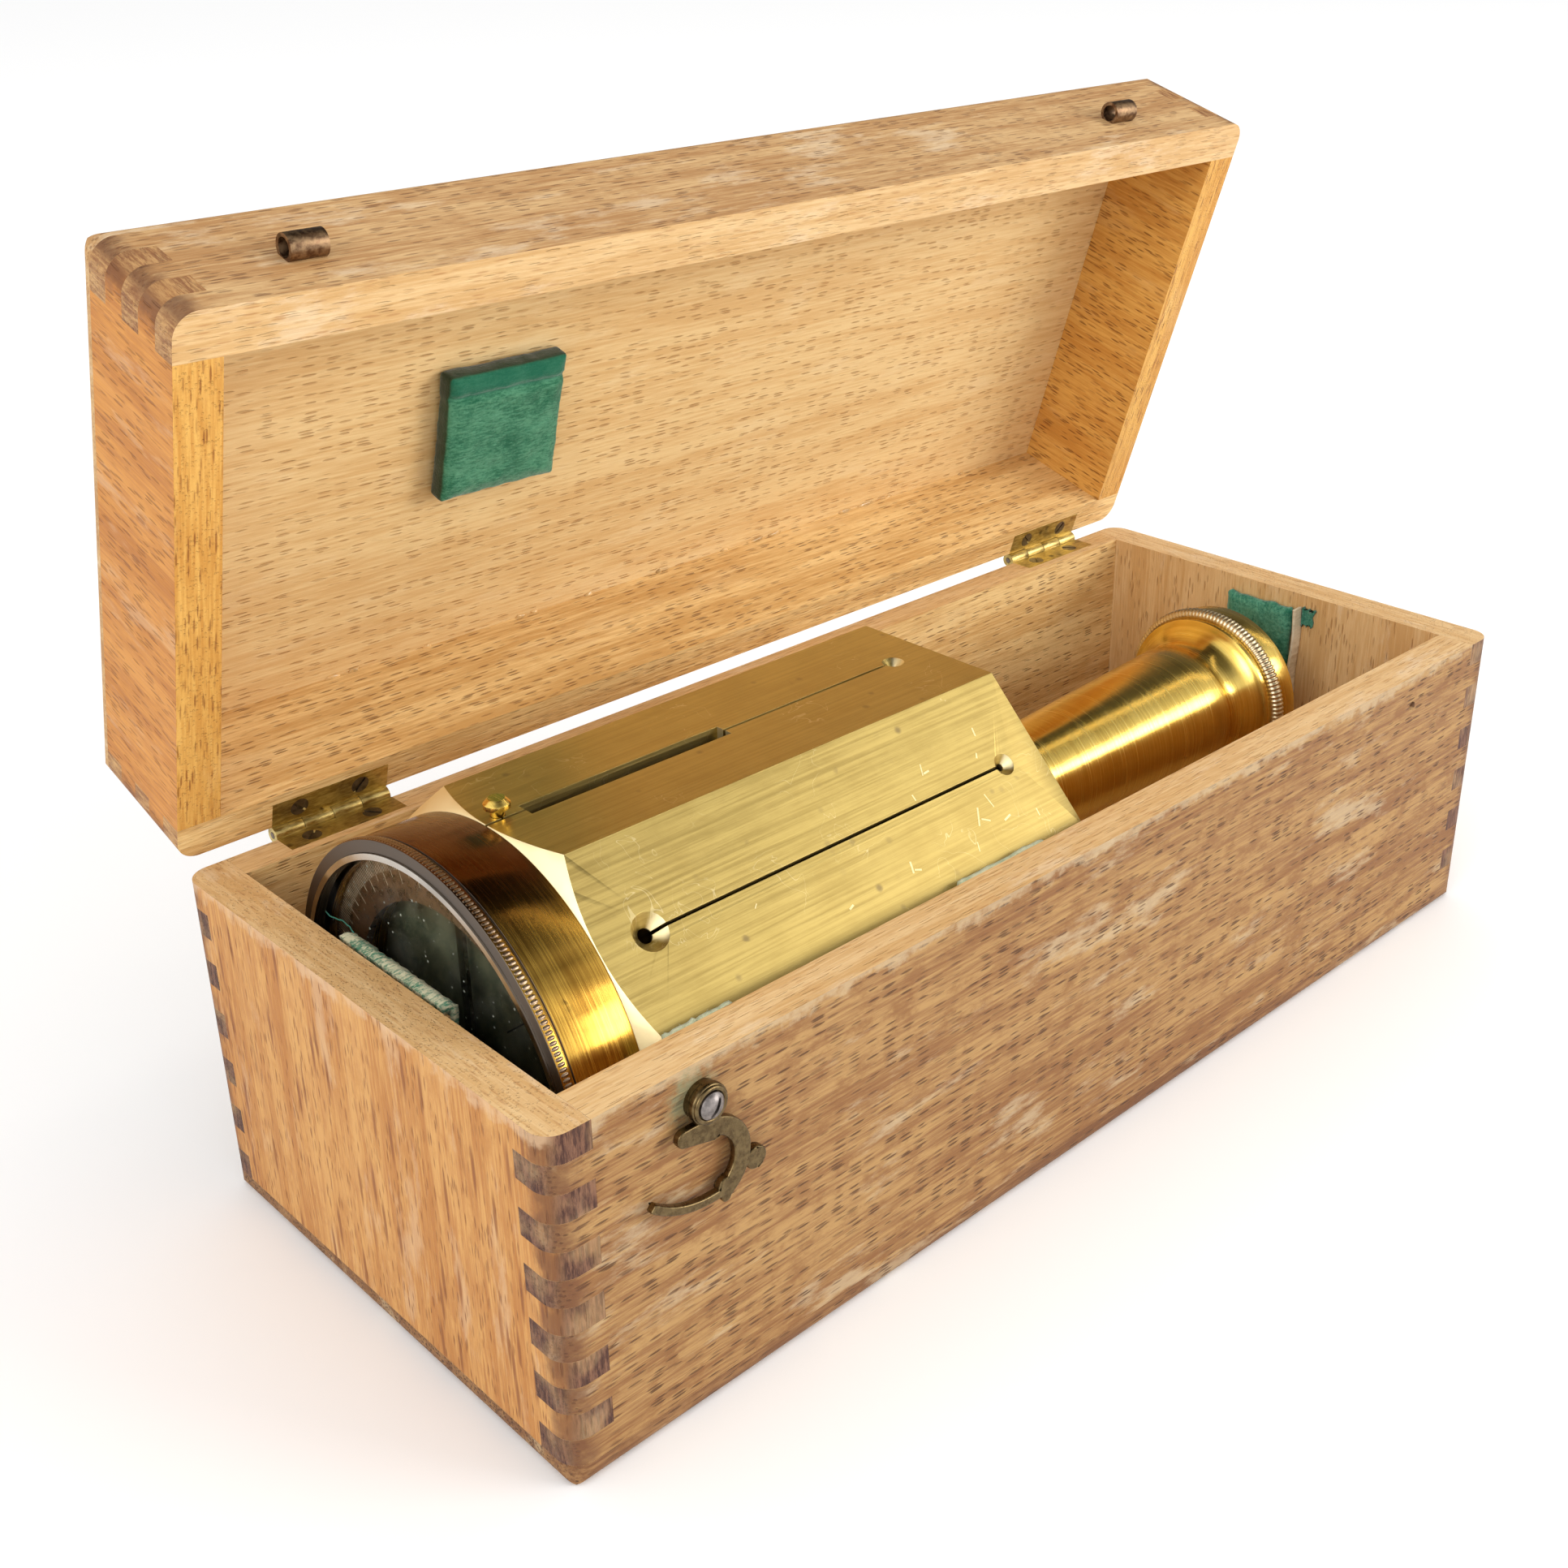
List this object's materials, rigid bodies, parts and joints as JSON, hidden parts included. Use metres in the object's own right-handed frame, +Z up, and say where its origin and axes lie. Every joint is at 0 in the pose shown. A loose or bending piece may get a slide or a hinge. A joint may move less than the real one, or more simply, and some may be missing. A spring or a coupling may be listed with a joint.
{
  "type": "cased surveying cross head",
  "caption": "Hinged finger-jointed wooden case holding a brass octagonal sighting head with a compass at one end and a conical staff socket at the other.",
  "frame": {"origin": "centre of the case's underside", "axes": "+X along the case towards the staff socket, -Y out of the front with the hook, +Z up"},
  "size_m": [0.216, 0.1144, 0.1471],
  "materials": {
    "beech_side": "worn oiled beech, dark flecks along the length",
    "beech_end": "amber-varnished beech, upright grain",
    "beech_board": "pale beech board",
    "cradle_wood": "plain unvarnished beech",
    "pale_felt": "faded pale green felt, frayed",
    "green_velvet": "worn green velvet",
    "pale_leather": "thin pale leather edge",
    "aged_brass": "aged scratched brass",
    "hook_brass": "dark patinated brass",
    "eye_brass": "dull brown brass",
    "satin_brass": "brushed along its length",
    "polished_brass": "turned and polished",
    "bronzed_brass": "turned, bronze lacquer",
    "knurled_brass": "dull, finely knurled",
    "silvered_rim": "bright turned rim",
    "bronzed_ring": "dark ring with engraved degree lines",
    "dark_dial": "matt black",
    "window_glass": "clear, dusty",
    "dark_steel": "darkened slotted screw",
    "bright_steel": "worn bright steel",
    "blued_steel": "blued steel, polished"
  },
  "bodies": {
    "case": {"case_bottom_board": "beech_board", "case_front_panel": "beech_side", "case_rear_panel": "beech_side", "case_left_panel": "beech_end", "case_right_panel": "beech_end", "left_cradle": "cradle_wood", "right_cradle": "cradle_wood", "left_cradle_felt": "pale_felt", "right_cradle_felt": "pale_felt", "left_end_block": "cradle_wood", "left_end_felt": "pale_felt", "right_end_pad": "green_velvet", "right_end_edging": "pale_leather", "left_hinge_lower_leaf": "aged_brass", "right_hinge_lower_leaf": "aged_brass", "hinge_pins": "dark_steel", "lower_hinge_screws": "dark_steel", "hook_pivot_screw": "bright_steel", "hook_washer": "hook_brass"},
    "lid": {"lid_top_board": "beech_board", "lid_front_panel": "beech_side", "lid_rear_panel": "beech_side", "lid_left_panel": "beech_end", "lid_right_panel": "beech_end", "lid_pad": "green_velvet", "left_hinge_upper_leaf": "aged_brass", "right_hinge_upper_leaf": "aged_brass", "upper_hinge_screws": "dark_steel", "left_hook_eye": "eye_brass", "right_hook_eye": "eye_brass"},
    "latch_hook": {"hook": "hook_brass"},
    "instrument": {"sight_drum": "satin_brass", "drum_end_plate": "satin_brass", "socket_spigot": "polished_brass", "compass_housing": "bronzed_brass", "compass_bezel": "silvered_rim", "compass_glass": "window_glass", "degree_ring": "bronzed_ring", "compass_dial": "dark_dial", "needle_pivot": "bright_steel"},
    "button": {"arrest_button": "polished_brass"},
    "lifter": {"lifter_arm": "polished_brass"},
    "needle": {"compass_needle": "blued_steel", "needle_cap": "polished_brass"},
    "socket": {"staff_socket": "polished_brass", "knurled_socket_ring": "knurled_brass"}
  },
  "joints": [
    {"name": "lid_hinge", "type": "hinge", "parent": "case", "child": "lid", "pos_m": [0, 0.0455, 0.05515], "axis": [-1, 0, 0], "range_deg": [-72.7, 105.3]},
    {"name": "hook_swing", "type": "hinge", "parent": "case", "child": "latch_hook", "pos_m": [-0.0847, -0.0454, 0.0496], "axis": [0, -1, 0], "range_deg": [-155, 75]},
    {"name": "instrument_lift", "type": "slide", "parent": "case", "child": "instrument", "axis": [0, 0, 1], "range_m": [0, 0.06]},
    {"name": "arrest_press", "type": "slide", "parent": "instrument", "child": "button", "axis": [0, 0, -1], "range_m": [0, 0.0012]},
    {"name": "needle_lift", "type": "slide", "parent": "instrument", "child": "lifter", "axis": [-1, 0, 0], "range_m": [0, 0.0009]},
    {"name": "needle_spin", "type": "hinge", "parent": "lifter", "child": "needle", "pos_m": [-0.0925, -0.0015, 0.0382], "axis": [1, 0, 0], "continuous": true},
    {"name": "socket_turn", "type": "hinge", "parent": "instrument", "child": "socket", "pos_m": [0.0009, -0.0015, 0.0382], "axis": [1, 0, 0], "continuous": true}
  ],
  "couplings": [
    {"joint": "needle_lift", "follows": "arrest_press", "ratio": 0.75}
  ]
}
